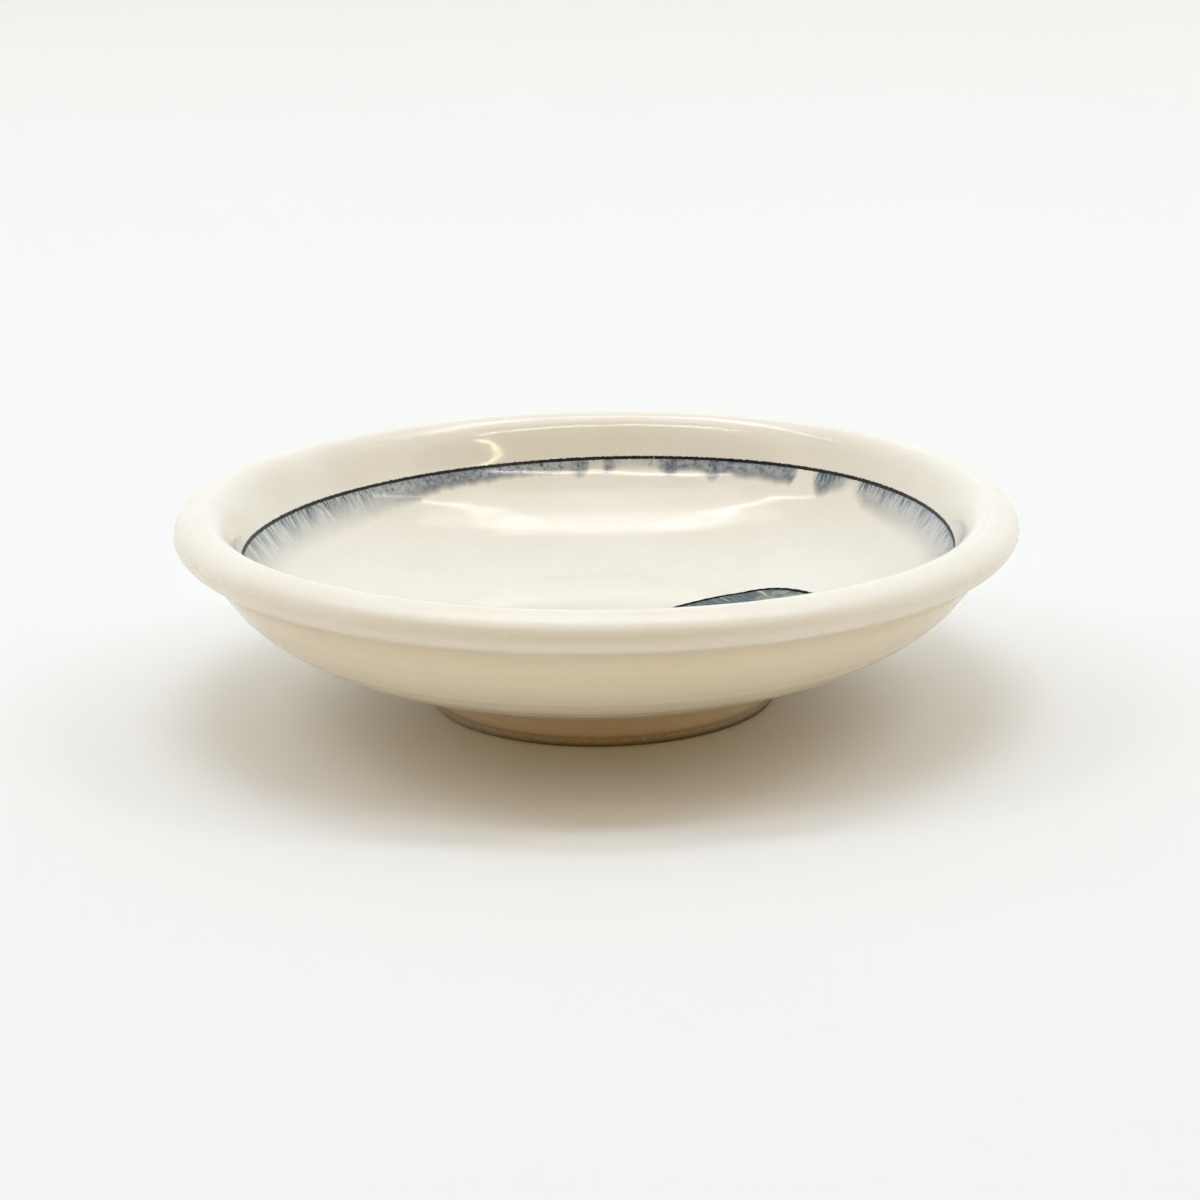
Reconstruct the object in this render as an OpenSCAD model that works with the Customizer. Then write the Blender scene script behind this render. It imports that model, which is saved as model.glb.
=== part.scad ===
// A wheel-thrown stoneware soy sauce dish with a rolled rim, a turned foot and a brushed border.
// The frame is +Z up, with the origin at the centre of the foot's resting face.

/* [Dish] */
// Diameter over the widest part of the rolled rim
dish_d = 104; // [92:1:130]
// Height from the table to the crest of the rim
dish_h = 24.8; // [22:0.2:34]
// Thickness of the base, from the foot's recess to the floor of the well
base_t = 4.2; // [3:0.1:5.5]
// Diameter of the flat floor of the well
floor_d = 47.2; // [40:0.4:56]
// Thickness of the fired glaze
glaze_t = 0.4; // [0.25:0.05:0.6]

/* [Rim] */
// How far the roll stands out beyond its crest
roll_out = 3.6; // [2.6:0.1:4.6]
// Height of the crest above the widest part of the roll
roll_up = 2.5; // [1.8:0.1:3.2]
// Height of the widest part of the roll above the crease under it
roll_down = 2.5; // [1.8:0.1:3.2]
// How far the roll runs level inside its crest before it turns down into the well
roll_in = 2.3; // [1.6:0.1:3]
// How far the roll's inner slope leans out from the painted line
lean_out = 1.3; // [0.9:0.1:1.8]
// How far above the painted line that lean reaches
lean_rise = 2.5; // [1.9:0.1:3.2]

/* [Wall] */
// Outward reach of the gentle curve that leaves the foot
lower_run = 13; // [8:0.5:16]
// Rise of the gentle curve that leaves the foot
lower_rise = 3.6; // [2.4:0.1:4.8]
// Inward reach of the steep curve under the rim
upper_run = 4.2; // [2.5:0.1:6]
// Fall of the steep curve under the rim
upper_fall = 9.7; // [7:0.1:11]

/* [Well] */
// How far the painted line lies inside the crest
line_in = 4.4; // [3.8:0.1:5.2]
// Depth of the painted line below the crest
line_drop = 5.4; // [5:0.1:6.4]
// Outward reach of the curve that leaves the floor
floor_run = 10.4; // [7:0.2:13]
// Rise of the curve that leaves the floor
floor_rise = 1.4; // [0.8:0.1:2.2]
// Inward reach of the curve that comes down from the line
side_run = 3.8; // [2.5:0.1:5]
// Fall of the curve that comes down from the line
side_fall = 6.4; // [4.5:0.2:7]

/* [Foot] */
// Diameter of the foot where its side meets the table, glaze included
foot_d = 42.8; // [38:0.4:48]
// Height of the foot
foot_h = 4; // [3:0.1:5]
// How far the foot's side leans out from the table to the wall
foot_flare = 0.4; // [0:0.1:1]
// Width of the bare face that the dish rests on
foot_w = 2.2; // [1.6:0.1:3]
// How much wider the foot is at its root, on the inner side
foot_root = 1; // [0.4:0.1:1.6]
// Height of the turned bevels at the edges of the resting face
foot_bevel = 0.4; // [0.2:0.05:0.6]
// Height of the bare clay that was wiped clean of glaze
bare_h = 1; // [0.7:0.1:1.4]

/* [Painting] */
// Width of the dark line, measured in plan
line_w = 0.44; // [0.3:0.02:0.7]
// Thickness of a painted layer
paint_t = 0.1; // [0.06:0.02:0.16]
// Width of the pale wash inside the line, at its widest
wash_w = 5.2; // [4:0.2:6.4]
// Depth of the scallops in the inner edge of the wash
wash_scallop = 1.2; // [0.6:0.1:1.6]
// Number of scallops round the wash
wash_count = 29; // [15:2:41]
// Number of brushed hairs round the border
hair_count = 90; // [40:2:120]
// Length of the longest brushed hair
hair_l = 3.4; // [2:0.1:3.8]
// Width of a brushed hair where it leaves the line
hair_w = 0.6; // [0.3:0.05:0.9]

/* [Leaves] */
// Length of the largest leaf
leaf_l = 23.5; // [18:0.5:27]
// Width of the largest leaf
leaf_w = 19.5; // [12:0.5:22]
// Width of the outline round a leaf, and of the gap along its midrib
leaf_line_w = 0.5; // [0.3:0.05:0.8]
// Width of the stem
stem_w = 0.8; // [0.5:0.1:1.2]

/* [Hidden] */
$fn = 144;

// Steps along each kind of curve
wall_steps = 16;
roll_steps = 8;
edge_steps = 24;
scallop_steps = 6;
// Extra height of the plan shapes that cut a painted layer to its outline
overrun = 2;

// Radii and heights of the section
roll_r = dish_d / 2;
roll_z = dish_h - roll_up;
crest_r = roll_r - roll_out;
crease_r = crest_r;
crease_z = roll_z - roll_down;
line_r = crest_r - line_in;
line_z = dish_h - line_drop;
floor_r = floor_d / 2;
floor_z = foot_h + base_t;
foot_r = foot_d / 2;
foot_top_r = foot_r + foot_flare;

// Each leaf: its share of the full size, the place of its base, and the way it points
leaf_shares = [
    [1, [0.32, 0.32], -8],
    [0.75, [-0.2, -0.25], 150],
    [0.55, [-0.29, -0.38], -38]
];
// The four points that draw the stem's curve
stem_shares = [[-0.66, -0.56], [-0.3, -0.75], [-0.12, 0.16], [0.32, 0.32]];
// Where a leaf is widest: 1 is half way along, and more is nearer its tip
leaf_belly_share = 1.1;

function unit(v) = v / norm(v);
function normal(a, b) = unit([a[1] - b[1], b[0] - a[0]]);

// A point on a cubic curve from p0 to p3
function curve_point(p0, p1, p2, p3, t) =
    pow(1 - t, 3) * p0 + 3 * pow(1 - t, 2) * t * p1 + 3 * (1 - t) * t * t * p2 + pow(t, 3) * p3;
function curve(p0, p1, p2, p3, steps) =
    [for (i = [0:steps]) curve_point(p0, p1, p2, p3, i / steps)];

// A quarter of an ellipse about c, from the angle a0 to a0 + 90 degrees
function quarter(c, rx, rz, a0, steps) =
    [for (i = [0:steps]) let (a = a0 + 90 * i / steps) c + [rx * cos(a), rz * sin(a)]];

// The path without its first point
function tail(path) = [for (i = [1:len(path) - 1]) path[i]];

// The path moved sideways by t, to its left as it runs, with mitred corners
function moved(path, t) = [
    for (i = [0:len(path) - 1])
        let (
            last = len(path) - 1,
            before = i == 0 ? normal(path[0], path[1]) : normal(path[i - 1], path[i]),
            after = i == last ? before : normal(path[i], path[i + 1]),
            mean = unit(before + after)
        )
        path[i] + mean * t / (mean * before)
];

function reversed(path) = [for (i = [len(path) - 1:-1:0]) path[i]];

// The glazed outside, from the bare clay of the foot up to the crest of the rim
foot_side = [
    [foot_r + foot_flare * bare_h / foot_h, bare_h],
    [foot_top_r, foot_h]
];
outer_wall = curve(
    [foot_top_r, foot_h],
    [foot_top_r + lower_run, foot_h + lower_rise],
    [crease_r - upper_run, crease_z - upper_fall],
    [crease_r, crease_z],
    wall_steps
);
roll_under = quarter([crease_r, roll_z], roll_out, roll_down, -90, roll_steps);
roll_over = quarter([crest_r, roll_z], roll_out, roll_up, 0, roll_steps);
outside = concat(foot_side, tail(outer_wall), tail(roll_under), tail(roll_over));

// The glazed inside, from the crest of the rim down to the centre of the floor
roll_inner = curve(
    [crest_r, dish_h],
    [crest_r - roll_in, dish_h],
    [line_r + lean_out, line_z + lean_rise],
    [line_r, line_z],
    2 * roll_steps
);
well_side = curve(
    [line_r, line_z],
    [line_r - side_run, line_z - side_fall],
    [floor_r + floor_run, floor_z + floor_rise],
    [floor_r, floor_z],
    wall_steps
);
inside = concat(roll_inner, tail(well_side), [[0, floor_z]]);

// The face between clay and glaze lies one glaze thickness inside the whole glazed path
glazed = concat(outside, tail(inside));
under_glaze = moved(glazed, glaze_t);
crest_i = len(outside) - 1;
joint_z = under_glaze[1][1];
joint_r = under_glaze[1][0];
clay_outside = [for (i = [1:crest_i]) under_glaze[i]];
clay_inside = [for (i = [crest_i:len(glazed) - 1]) under_glaze[i]];

// The foot ring's section, with the recess inside it
rest_out = foot_r - glaze_t - foot_bevel;
rest_in = rest_out - foot_w;
recess_edge_r = rest_in - foot_bevel;
recess_root_r = recess_edge_r - foot_root;
recess_bare_r = recess_edge_r - foot_root * (bare_h - foot_bevel) / (joint_z - foot_bevel);

// The well's side as a table from the radius to the height, from the centre outwards
well_table = reversed(concat([[line_r, line_z]], tail(well_side), [[0, floor_z]]));

function well_z(r) = lookup(r, well_table);

// The stretch of the well's surface between two radii, from the outer one inwards
function well_stretch(r_in, r_out) = concat(
    [[r_out, well_z(r_out)]],
    [for (p = reversed(well_table)) if (p[0] > r_in && p[0] < r_out) p],
    [[r_in, well_z(r_in)]]
);

// A painted skin on the well between two radii, whose faces lie at two levels above the glaze
module skin(r_in, r_out, low, high) {
    stretch = well_stretch(r_in, r_out);
    rotate_extrude()
        polygon(concat(moved(stretch, -low), reversed(moved(stretch, -high))));
}

// A skin cut to the outline of its children, as seen from above
module painted(r_in, r_out, low, high) {
    intersection() {
        skin(r_in, r_out, low, high);
        translate([0, 0, floor_z - overrun])
            linear_extrude(dish_h - floor_z + overrun)
                children();
    }
}

// The thrown body: base, wall and rolled rim
module clay_body() {
    color("tan")
        rotate_extrude()
            polygon(concat([[0, joint_z]], clay_outside, tail(clay_inside)));
}

// The foot turned from the base, with its bare resting face
module foot_ring() {
    color("peru")
        rotate_extrude()
            polygon([
                [rest_in, 0],
                [rest_out, 0],
                [rest_out + foot_bevel, foot_bevel],
                under_glaze[0],
                [joint_r, joint_z],
                [recess_root_r, joint_z],
                [recess_edge_r, foot_bevel]
            ]);
}

// The warm glaze on the outside, from the wiped foot to the crest
module outer_glaze() {
    clay_face = [for (i = [0:crest_i]) under_glaze[i]];
    color("wheat")
        rotate_extrude()
            polygon(concat(outside, reversed(clay_face)));
}

// The white glaze inside, from the crest to the centre of the well
module inner_glaze() {
    color("ivory")
        rotate_extrude()
            polygon(concat(inside, reversed(clay_inside)));
}

// The glaze in the recess of the foot, which stops short of the resting face
module base_glaze() {
    color("wheat")
        rotate_extrude()
            polygon([
                [0, joint_z - glaze_t],
                [recess_root_r - glaze_t, joint_z - glaze_t],
                [recess_bare_r - glaze_t, bare_h],
                [recess_bare_r, bare_h],
                [recess_root_r, joint_z],
                [0, joint_z]
            ]);
}

// The dark line drawn round the top of the well on the wheel
module band_line() {
    color("black")
        skin(line_r - line_w, line_r, 0, paint_t);
}

// How much of the wash is left at an angle, from the scallops and a slow swell
function wash_edge(a) =
    line_r - line_w - wash_w + wash_scallop * (1 - cos(wash_count * a)) / 2 * (1 + sin(3 * a)) / 2;

// The pale blue wash that runs in from the line
module border_wash() {
    count = wash_count * scallop_steps;
    color("lightsteelblue")
        painted(line_r - line_w - wash_w, line_r - line_w, 0, paint_t)
            difference() {
                circle(r = roll_r);
                polygon([
                    for (i = [0:count - 1])
                        let (a = 360 * i / count)
                        wash_edge(a) * [cos(a), sin(a)]
                ]);
            }
}

// One brushed hair: it starts broad at the line and tapers inwards, a little aslant
module hair(length, slant) {
    outer = line_r - line_w;
    tip_share = 0.3;
    polygon([
        [outer, -hair_w / 2],
        [outer, hair_w / 2],
        [outer - length, hair_w * (slant + tip_share / 2)],
        [outer - length, hair_w * (slant - tip_share / 2)]
    ]);
}

// The darker hairs brushed over the wash, of uneven length
module border_hairs() {
    uneven_share = 0.35;
    turn = 137.5;
    color("slategray")
        painted(line_r - line_w - wash_w, line_r - line_w, paint_t, 2 * paint_t)
            for (i = [0:hair_count - 1])
                rotate(360 * i / hair_count)
                    hair(hair_l * (1 - uneven_share * (1 + sin(i * turn)) / 2), sin(i * turn * 2) / 2);
}

// The outline of one side of a leaf that lies along X from its base, drawn in by an edge
function leaf_side(length, width, edge, side) = [
    for (i = [0:edge_steps])
        let (
            t = i / edge_steps,
            x = 2 * edge + (length - 4 * edge) * t,
            belly = sin(180 * pow(t, leaf_belly_share))
        )
        [x, side * (width / 2 - edge) * belly]
];

module leaf(length, width, edge) {
    polygon(concat(
        leaf_side(length, width, edge, 1),
        tail(reversed(tail(leaf_side(length, width, edge, -1))))
    ));
}

// The wash on one side of a leaf, inside its outline and clear of its midrib
module leaf_wash(length, width, side) {
    intersection() {
        leaf(length, width, leaf_line_w);
        translate([0, side > 0 ? leaf_line_w / 2 : -width - leaf_line_w / 2])
            square([length, width]);
    }
}

// The stem, from its cut end to the base of the largest leaf
module stem() {
    path = curve(
        floor_r * stem_shares[0],
        floor_r * stem_shares[1],
        floor_r * stem_shares[2],
        floor_r * stem_shares[3],
        wall_steps
    );
    polygon(concat(moved(path, stem_w / 2), reversed(moved(path, -stem_w / 2))));
}

// Sets its children at each leaf's place, with that leaf's share of the full size in $size_share
module each_leaf() {
    for (place = leaf_shares)
        translate(floor_r * place[1])
            rotate(place[2]) {
                $size_share = place[0];
                children();
            }
}

// The blue half of each leaf
module leaf_shadows() {
    color("steelblue")
        painted(0, line_r - line_w, 0, paint_t)
            each_leaf()
                leaf_wash(leaf_l * $size_share, leaf_w * $size_share, 1);
}

// The grey-green half of each leaf
module leaf_lights() {
    color("darkseagreen")
        painted(0, line_r - line_w, 0, paint_t)
            each_leaf()
                leaf_wash(leaf_l * $size_share, leaf_w * $size_share, -1);
}

// The dark outlines of the leaves, and their stem
module leaf_outlines() {
    color("darkslategray")
        painted(0, line_r - line_w, 0, paint_t) {
            each_leaf()
                difference() {
                    leaf(leaf_l * $size_share, leaf_w * $size_share, 0);
                    leaf(leaf_l * $size_share, leaf_w * $size_share, leaf_line_w);
                }
            difference() {
                stem();
                each_leaf()
                    leaf(leaf_l * $size_share, leaf_w * $size_share, 0);
            }
        }
}

clay_body();
foot_ring();
outer_glaze();
inner_glaze();
base_glaze();
band_line();
border_wash();
border_hairs();
leaf_shadows();
leaf_lights();
leaf_outlines();
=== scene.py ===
import math

import bpy
import numpy as np
from mathutils import Matrix


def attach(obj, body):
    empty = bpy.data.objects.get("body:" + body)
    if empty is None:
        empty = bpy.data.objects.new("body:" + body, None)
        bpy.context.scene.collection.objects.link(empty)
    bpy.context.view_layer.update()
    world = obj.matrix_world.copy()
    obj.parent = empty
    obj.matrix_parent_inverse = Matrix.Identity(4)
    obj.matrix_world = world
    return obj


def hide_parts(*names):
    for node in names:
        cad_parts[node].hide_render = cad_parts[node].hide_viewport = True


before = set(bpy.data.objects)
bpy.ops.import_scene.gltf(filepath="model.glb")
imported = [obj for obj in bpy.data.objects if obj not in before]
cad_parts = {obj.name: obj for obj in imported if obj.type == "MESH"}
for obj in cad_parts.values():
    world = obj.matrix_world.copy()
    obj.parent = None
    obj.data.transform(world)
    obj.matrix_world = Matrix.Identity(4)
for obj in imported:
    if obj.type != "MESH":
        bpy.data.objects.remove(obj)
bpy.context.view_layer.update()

# The looks of the thrown soy sauce dish. Lengths are written in millimetres, in the CAD's frame, and
# turned into metres where a mesh is made.
MM = 0.001

# Sizes that repeat the CAD's
DISH_H = 24.8
ROLL_R = 52.0
ROLL_Z = 22.3
CREST_R = 48.4
CREASE_Z = 19.8
LINE_R = 44.0
LINE_Z = 19.4
FLOOR_R = 23.6
FLOOR_Z = 8.2
FOOT_TOP_R = 21.8
FOOT_H = 4.0
FOOT_R = 21.4
BARE_H = 1.0
GLAZE_T = 0.4
JOINT_Z = 4.45
REST_OUT = 20.6
REST_IN = 18.4
RECESS_EDGE_R = 18.0
RECESS_ROOT_R = 17.0
BEVEL = 0.4
# The points that pull the section's curves: the outer wall, the inner rim and the well
WALL_PULLS = [(34.8, 7.6), (44.2, 10.1)]
INNER_RIM_PULLS = [(46.1, DISH_H), (45.3, 21.9)]
WELL_PULLS = [(40.2, 13.0), (34.0, 9.6)]
# How far the glaze's lower edge stands out from the bare foot
GLAZE_EDGE_OUT = 0.1

# The real dish is a little out of true: its rim tilts and waves, it is slightly oval, and its foot
# sits off the axis. The waves are (turns, cosine part, sine part) of the rim's height, and they grow
# from the axis out to WAVES_FULL_R.
RIM_TILT_X = -0.0114
RIM_TILT_Y = -0.0052
RIM_WAVES = [(2, -0.04, 0.20), (3, -0.04, 0.08)]
WAVES_FULL_R = 8.0
RIM_OVAL = 0.0016
RIM_SHIFT = (-0.14, 0.08)
FOOT_SHIFT = 0.4
FOOT_SHIFT_END = 8.0

# Columns round the visible pieces and round the hidden clay. A glaze's under face has one row for
# every UNDER_ROW_STEP of its visible face.
COLUMNS = 360
CORE_COLUMNS = 120
UNDER_ROW_STEP = 4
# A length or radius below this counts as none
TINY = 1e-6


# The section of the glazed surface
def cubic(p0, p1, p2, p3, steps=400):
    """Points on a Bezier curve."""
    t = np.linspace(0, 1, steps + 1)[:, None]
    p0, p1, p2, p3 = (np.array(p, float) for p in (p0, p1, p2, p3))
    return (1 - t) ** 3 * p0 + 3 * (1 - t) ** 2 * t * p1 + 3 * (1 - t) * t * t * p2 + t ** 3 * p3


def quarter(centre, rx, rz, start, steps=200):
    """Points on a quarter of an ellipse, from a start in degrees."""
    a = np.radians(start + np.linspace(0, 90, steps + 1))
    return np.stack([centre[0] + rx * np.cos(a), centre[1] + rz * np.sin(a)], axis=1)


def straight(p0, p1, steps=200):
    t = np.linspace(0, 1, steps + 1)[:, None]
    return (1 - t) * np.array(p0, float) + t * np.array(p1, float)


STRETCHES = [
    straight((FOOT_R + GLAZE_EDGE_OUT, BARE_H), (FOOT_TOP_R, FOOT_H)),
    cubic((FOOT_TOP_R, FOOT_H), *WALL_PULLS, (CREST_R, CREASE_Z)),
    quarter((CREST_R, ROLL_Z), ROLL_R - CREST_R, ROLL_Z - CREASE_Z, -90),
    quarter((CREST_R, ROLL_Z), ROLL_R - CREST_R, DISH_H - ROLL_Z, 0),
    cubic((CREST_R, DISH_H), *INNER_RIM_PULLS, (LINE_R, LINE_Z)),
    cubic((LINE_R, LINE_Z), *WELL_PULLS, (FLOOR_R, FLOOR_Z)),
    straight((FLOOR_R, FLOOR_Z), (0, FLOOR_Z)),
]
# Rows of the mesh along each stretch
ROWS = [8, 70, 22, 18, 30, 76, 34]
# The section is kept at even steps. Its corners are rounded by a fillet, and those about the crease
# under the rim by a larger one.
PATH_STEP = 0.05
FILLET = 0.28
CREASE_FILLET = 1.1
CREASE_REACH = 3.0
# The glaze's lower edge rolls over along this length, and loses this share of its thickness
EDGE_ROLL = 0.6
EDGE_THINNED = 0.8


def arc_lengths(path):
    return np.concatenate([[0], np.cumsum(np.linalg.norm(np.diff(path, axis=0), axis=1))])


def smooth_path(path, sigma):
    """The path at even steps, its corners rounded as a glaze rounds them. It is mirrored in the axis."""
    s = arc_lengths(path)
    even = np.arange(0, s[-1], PATH_STEP)
    points = np.stack([np.interp(even, s, path[:, i]) for i in (0, 1)], axis=1)
    reach = int(4 * sigma / PATH_STEP)
    kernel = np.exp(-0.5 * (np.arange(-reach, reach + 1) * PATH_STEP / sigma) ** 2)
    kernel /= kernel.sum()
    before = 2 * points[0] - points[reach:0:-1]
    after = points[-2:-reach - 2:-1] * (-1, 1)
    padded = np.concatenate([before, points, after])
    return even, np.stack([np.convolve(padded[:, i], kernel, "valid") for i in (0, 1)], axis=1)


WHOLE = np.concatenate([STRETCHES[0]] + [part[1:] for part in STRETCHES[1:]])
ENDS = np.concatenate([[0], np.cumsum([arc_lengths(part)[-1] for part in STRETCHES])])
WALL_S, CREASE_S, _, CREST_S, LINE_S = ENDS[1:6]
PATH_S, PATH = smooth_path(WHOLE, FILLET)
SOFT = np.exp(-((PATH_S - CREASE_S) / CREASE_REACH) ** 2)[:, None]
PATH = (1 - SOFT) * PATH + SOFT * smooth_path(WHOLE, CREASE_FILLET)[1]
SLOPE = np.gradient(PATH, axis=0)
SLOPE /= np.linalg.norm(SLOPE, axis=1)[:, None]
NORMAL = np.stack([SLOPE[:, 1], -SLOPE[:, 0]], axis=1)
END_S = PATH_S[-1]
# Throwing ridges on the outside: height, pitch, turns and phase
RIDGES = [(0.010, 3.3, 1, 0), (0.006, 2.1, -1, 1)]
# Lobes of the whole surface: height, turns, slant and phase
LOBES = [(0.012, 5, 0.09, 2.1), (0.008, 9, -0.21, 0)]
# The steps over which a normal is found, and how near the axis it may be
SLOPE_STEP = 0.08
TURN_STEP = 0.003
AXIS_GAP = 0.3
NO_LENGTH = 1e-12


def along(values, s):
    return np.interp(s, PATH_S, values)


def smoothstep(low, high, x):
    t = np.clip((x - low) / (high - low), 0, 1)
    return t * t * (3 - 2 * t)


def relief(s, a):
    """The slight unevenness of the glaze along its normal, which fades at the foot and in the well."""
    body = smoothstep(WALL_S, WALL_S + 4, s) * (1 - smoothstep(END_S - 14, END_S - 4, s))
    inside = smoothstep(CREST_S - 4, CREST_S + 6, s)
    turn = a / (2 * np.pi)
    ridges = sum(h * np.sin(2 * np.pi * (s / pitch + k * turn) + phase) for h, pitch, k, phase in RIDGES)
    lobes = sum(h * np.sin(k * a + slant * s + phase) for h, k, slant, phase in LOBES)
    return body * (ridges * (1 - inside) + lobes)


def out_of_true(r, z, a):
    """A point of the section turned to an angle, with the dish's small faults of form."""
    share = np.clip(z / DISH_H, 0, 1)
    oval = 1 + RIM_OVAL * share ** 2 * np.cos(2 * a)
    foot = FOOT_SHIFT * (1 - smoothstep(0, FOOT_SHIFT_END, z))
    x = r * oval * np.cos(a) + foot + RIM_SHIFT[0] * share
    y = r * oval * np.sin(a) + RIM_SHIFT[1] * share
    wave = sum(c * np.cos(k * a) + s * np.sin(k * a) for k, c, s in RIM_WAVES)
    tilt = RIM_TILT_X * x + RIM_TILT_Y * y
    grown = smoothstep(0, WAVES_FULL_R, r)
    return np.stack([x, y, z + share * tilt + share ** 2 * wave * grown], axis=-1)


def edge_roll(s):
    """How far the glaze thins to a rounded edge above the bare foot."""
    left = np.clip(1 - s / EDGE_ROLL, 0, 1)
    return -EDGE_THINNED * GLAZE_T * (1 - np.sqrt(1 - left ** 2))


def surface(s, a, lift=0.0):
    """The glazed surface at arc length s and angle a, lifted along its normal."""
    s, a = np.broadcast_arrays(np.asarray(s, float), np.asarray(a, float))
    off = relief(s, a) + lift
    # The glaze's under face stays where it is at the rolled edge
    if lift >= 0:
        off = off + edge_roll(s)
    r = along(PATH[:, 0], s) + along(NORMAL[:, 0], s) * off
    z = along(PATH[:, 1], s) + along(NORMAL[:, 1], s) * off
    return out_of_true(np.maximum(r, 0), z, a)


def surface_normal(s, a):
    """The direction that faces out of the clay, from the surface's own slopes."""
    along_s = surface(np.minimum(s + SLOPE_STEP, END_S), a) - surface(np.maximum(s - SLOPE_STEP, 0), a)
    off_axis = np.minimum(s, END_S - AXIS_GAP)
    along_a = surface(off_axis, a + TURN_STEP) - surface(off_axis, a - TURN_STEP)
    normal = np.cross(along_a, along_s)
    return normal / np.maximum(np.linalg.norm(normal, axis=-1, keepdims=True), NO_LENGTH)


def row_places(first, last):
    """The arc lengths of the mesh rows over some of the stretches."""
    parts = [np.linspace(ENDS[i], ENDS[i + 1], ROWS[i] + 1)[1:] for i in range(first, last)]
    return np.minimum(np.concatenate([[ENDS[first]]] + parts), END_S)


def angles(count=COLUMNS):
    return np.arange(count) * 2 * np.pi / count


# How deep a painted stroke sinks into the glaze, and how high its shoulders are beside its middle
SUNK = 0.05
SHOULDER = 0.5


# Mesh making
def make_object(name, points, faces, material, normals=None, values=None):
    """A smooth mesh from points in millimetres. Values become attributes that its material reads."""
    mesh = bpy.data.meshes.new(name)
    mesh.from_pydata((points * MM).tolist(), [], [tuple(int(v) for v in face) for face in faces])
    mesh.validate()
    for title, numbers in (values or {}).items():
        layer = mesh.attributes.new(title, "FLOAT", "POINT")
        layer.data.foreach_set("value", np.asarray(numbers, np.float32))
    mesh.polygons.foreach_set("use_smooth", [True] * len(mesh.polygons))
    if normals is not None:
        mesh.normals_split_custom_set_from_vertices(normals.tolist())
    mesh.materials.append(material)
    piece = bpy.data.objects.new(name, mesh)
    bpy.context.collection.objects.link(piece)
    return piece


def ring_faces(a, b):
    """Faces between two rings of vertices. A ring of one vertex is a pole."""
    n = max(len(a), len(b))
    after = [(i + 1) % n for i in range(n)]
    if len(a) == 1:
        return [(a[0], b[j], b[i]) for i, j in enumerate(after)]
    if len(b) == 1:
        return [(a[i], a[j], b[0]) for i, j in enumerate(after)]
    return [(a[i], a[j], b[j], b[i]) for i, j in enumerate(after)]


def lathe(rings, closed):
    """Points and faces of a stack of rings. closed joins the last ring to the first."""
    starts = np.cumsum([0] + [len(ring) for ring in rings])
    indices = [list(range(starts[i], starts[i + 1])) for i in range(len(rings))]
    pairs = list(zip(indices, indices[1:]))
    if closed:
        pairs.append((indices[-1], indices[0]))
    faces = []
    for a, b in pairs:
        if len(a) > 1 or len(b) > 1:
            faces += ring_faces(a, b)
    return np.concatenate(rings), faces


def glaze_rows(places, lift, way):
    """The rings, normals, arc lengths and angles of some rows. way is -1 where they face the clay."""
    a = angles()
    rows = []
    for s in places:
        pole = s >= END_S - TINY
        turn = a[:1] if pole else a
        arc = np.full(len(turn), s)
        up = np.array([[0, 0, 1.0]]) if pole else surface_normal(arc, turn)
        rows.append((surface(arc, turn, lift), up * way, arc, turn))
    return rows


def glaze_shell(name, places, material, values):
    """A closed shell of glaze: the visible face over some rows, and a face one thickness under it."""
    corners = [s for s in (WALL_S, CREASE_S) if places[0] < s < places[-1]]
    under = np.unique(np.concatenate([places[::-1][::UNDER_ROW_STEP], places[:1], corners]))[::-1]
    rows = glaze_rows(places, 0.0, 1) + glaze_rows(under, -GLAZE_T, -1)
    points, faces = lathe([row[0] for row in rows], True)
    normals, arcs, turns = (np.concatenate([row[i] for row in rows]) for i in (1, 2, 3))
    return make_object(name, points, faces, material, normals, values(arcs, turns))


def turned(name, section, material, closed, columns=CORE_COLUMNS):
    """A piece turned from its section, which may begin and end on the axis."""
    a = angles(columns)
    rings = []
    for r, z in section:
        turn = a[:1] if r < TINY else a
        rings.append(out_of_true(np.full(len(turn), float(r)), np.full(len(turn), float(z)), turn))
    points, faces = lathe(rings, closed)
    return make_object(name, points, faces, material)


def tube_faces(first, length, around):
    """The faces of a closed tube, a number of points long and around, numbered from first."""
    index = first + np.arange(length * around).reshape(length, around)
    faces = []
    for i in range(length - 1):
        for j in range(around):
            k = (j + 1) % around
            faces.append((index[i, j], index[i + 1, j], index[i + 1, k], index[i, k]))
    return faces + [index[0], index[-1][::-1]]


def ribbons(name, strokes, material, lift):
    """Thin painted strokes. Each is its arc lengths, angles and half widths; they sink into the glaze."""
    points, normals, faces, shares = [], [], [], []
    for arcs, turns, halves in strokes:
        middle = surface(arcs, turns)
        up = surface_normal(arcs, turns)
        ahead = np.gradient(middle, axis=0)
        side = np.cross(up, ahead)
        side /= np.linalg.norm(side, axis=1)[:, None]
        side *= np.asarray(halves)[:, None]
        corners = [
            middle - side - up * SUNK, middle - side + up * lift * SHOULDER, middle + up * lift,
            middle + side + up * lift * SHOULDER, middle + side - up * SUNK
        ]
        start = sum(len(p) for p in points)
        count, n = len(corners), len(middle)
        points.append(np.stack(corners, axis=1).reshape(-1, 3))
        normals.append(np.repeat(up, count, axis=0))
        shares.append(np.repeat(np.linspace(0, 1, n), count))
        faces += tube_faces(start, n, count)
    values = {"along": np.concatenate(shares)}
    return make_object(name, np.concatenate(points), faces, material, np.concatenate(normals), values)


# Materials. A noise or dot scale of 1 has its features about a millimetre apart. These are the places
# of the colour sockets in Blender's Mix node.
MIX_FIRST = 6
MIX_SECOND = 7
MIX_RESULT = 2
GLAZE_IOR = 1.5


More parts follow.
